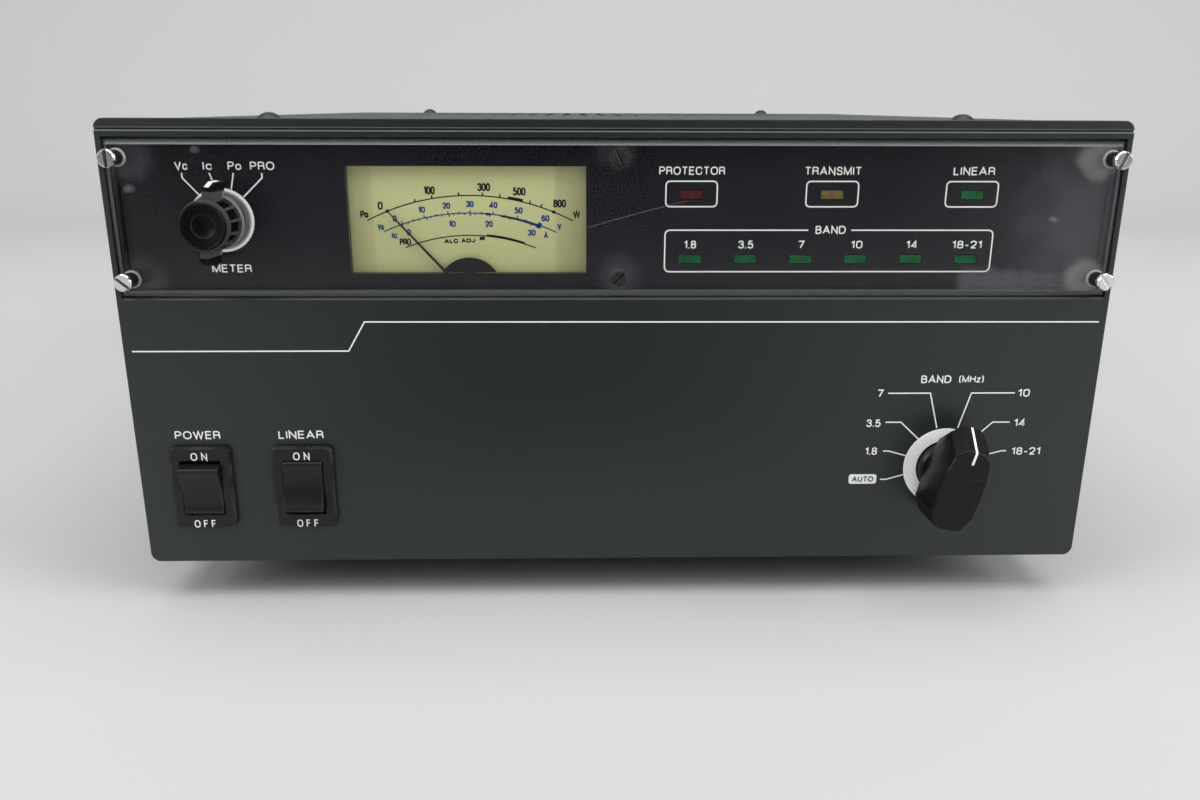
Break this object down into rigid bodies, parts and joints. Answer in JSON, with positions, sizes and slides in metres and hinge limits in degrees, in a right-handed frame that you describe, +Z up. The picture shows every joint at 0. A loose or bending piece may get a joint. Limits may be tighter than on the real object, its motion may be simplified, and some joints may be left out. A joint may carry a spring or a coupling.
{
  "type": "hf linear amplifier",
  "caption": "Desktop solid-state radio power amplifier: dark cabinet with a windowed front carrying a panel meter, indicators and a meter selector, over rocker switches and a band selector",
  "frame": {"origin": "centre of the whole amplifier's outline on the surface that its feet stand on", "axes": "+Y runs from the front panel to the rear panel, along the longest extent; +X runs to the right as seen from the front; +Z is up; the front panel faces -Y"},
  "size_m": [0.306, 0.4004, 0.1562],
  "materials": {
    "cabinet_paint": "dark green-grey textured enamel",
    "display_black": "satin black sheet",
    "window_acrylic": "clear polished acrylic",
    "meter_glass": "clear",
    "black_plastic": "moulded black",
    "chrome": "polished",
    "dark_screw": "black oxide",
    "meter_case_plastic": "ivory moulding",
    "meter_scale": "pale yellow-green enamel",
    "meter_steel": "ground",
    "needle_black": "matt black",
    "lamp_glass": "clear",
    "red_lens": "tinted epoxy",
    "yellow_lens": "tinted epoxy",
    "green_lens": "tinted epoxy",
    "dial_white": "white print",
    "phenolic": "brown laminate",
    "bright_metal": "nickel plated",
    "terminal_brass": "plain",
    "chassis_zinc": "zinc plated",
    "rear_paint": "dark green-grey enamel",
    "foot_rubber": "moulded",
    "board_green": "solder mask",
    "coil_copper": "enamelled wire on a core",
    "relay_case": "moulded",
    "sink_aluminium": "black anodised",
    "device_ceramic": "white ceramic on gold flange",
    "ferrite": "sintered",
    "can_sleeve": "shrunk sleeve",
    "socket_white": "PTFE and nylon",
    "lead_jacket": "insulated wire"
  },
  "bodies": {
    "cabinet": {"front_panel": "cabinet_paint", "display_panel": "display_black", "display_window": "window_acrylic", "window_collars": "black_plastic", "window_screws": "chrome", "window_mid_screws": "dark_screw", "meter_case": "meter_case_plastic", "meter_scale_plate": "meter_scale", "meter_cover_disc": "display_black", "meter_glass": "meter_glass", "meter_magnet": "meter_steel", "meter_lamps": "lamp_glass", "led_board": "board_green", "protector_led": "red_lens", "transmit_led": "yellow_lens", "linear_led": "green_lens", "band_leds": "green_lens", "meter_dial_ring": "dial_white", "meter_switch_body": "phenolic", "band_dial_ring": "dial_white", "band_switch_body": "phenolic", "switch_nuts": "bright_metal", "power_switch_housing": "black_plastic", "linear_switch_housing": "black_plastic", "switch_terminals": "terminal_brass", "chassis": "chassis_zinc", "shield_plate": "chassis_zinc", "rear_panel": "rear_paint", "top_cover": "cabinet_paint", "bottom_cover": "cabinet_paint", "cabinet_screws": "dark_screw", "feet": "foot_rubber", "control_board": "board_green", "filter_board": "board_green", "filter_coils": "coil_copper", "filter_relays": "relay_case", "board_standoffs": "terminal_brass", "heat_sink": "sink_aluminium", "heat_sink_brackets": "chassis_zinc", "pa_boards": "board_green", "pa_transistors": "device_ceramic", "pa_transformers": "ferrite", "reservoir_capacitors": "can_sleeve", "left_fan_frame": "black_plastic", "right_fan_frame": "black_plastic", "fan_guards": "bright_metal", "coax_sockets": "bright_metal", "socket_insulators": "socket_white", "signal_sockets": "bright_metal", "power_socket": "socket_white", "inner_leads": "lead_jacket"},
    "meter_selector": {"meter_knob": "black_plastic", "meter_switch_rotor": "bright_metal"},
    "band_selector": {"band_knob": "black_plastic", "band_switch_rotor": "bright_metal"},
    "power_switch_rocker": {"power_rocker": "black_plastic"},
    "linear_switch_rocker": {"linear_rocker": "black_plastic"},
    "meter_movement": {"meter_needle": "needle_black"},
    "left_fan": {"left_fan_rotor": "black_plastic"},
    "right_fan": {"right_fan_rotor": "black_plastic"}
  },
  "joints": [
    {"name": "meter_knob_turn", "type": "hinge", "parent": "cabinet", "child": "meter_selector", "pos_m": [-0.12, -0.1818, 0.1248], "axis": [0, -1, 0], "range_deg": [-45, 45]},
    {"name": "band_knob_turn", "type": "hinge", "parent": "cabinet", "child": "band_selector", "pos_m": [0.1063, -0.1818, 0.0458], "axis": [0, -1, 0], "range_deg": [-60, 120]},
    {"name": "power_rocker_tilt", "type": "hinge", "parent": "cabinet", "child": "power_switch_rocker", "pos_m": [-0.133, -0.1808, 0.0404], "axis": [1, 0, 0], "range_deg": [-20, 0]},
    {"name": "linear_rocker_tilt", "type": "hinge", "parent": "cabinet", "child": "linear_switch_rocker", "pos_m": [-0.1007, -0.1808, 0.0404], "axis": [1, 0, 0], "range_deg": [0, 20]},
    {"name": "meter_needle_swing", "type": "hinge", "parent": "cabinet", "child": "meter_movement", "pos_m": [-0.0461, -0.1754, 0.1004], "axis": [0, 1, 0], "range_deg": [0, 85], "stiffness_Nm_per_rad": 0.0002, "springref_deg": -2.86},
    {"name": "left_fan_spin", "type": "hinge", "parent": "cabinet", "child": "left_fan", "pos_m": [-0.043, 0.1682, 0.096], "axis": [0, 1, 0], "continuous": true},
    {"name": "right_fan_spin", "type": "hinge", "parent": "cabinet", "child": "right_fan", "pos_m": [0.043, 0.1682, 0.096], "axis": [0, 1, 0], "continuous": true}
  ]
}
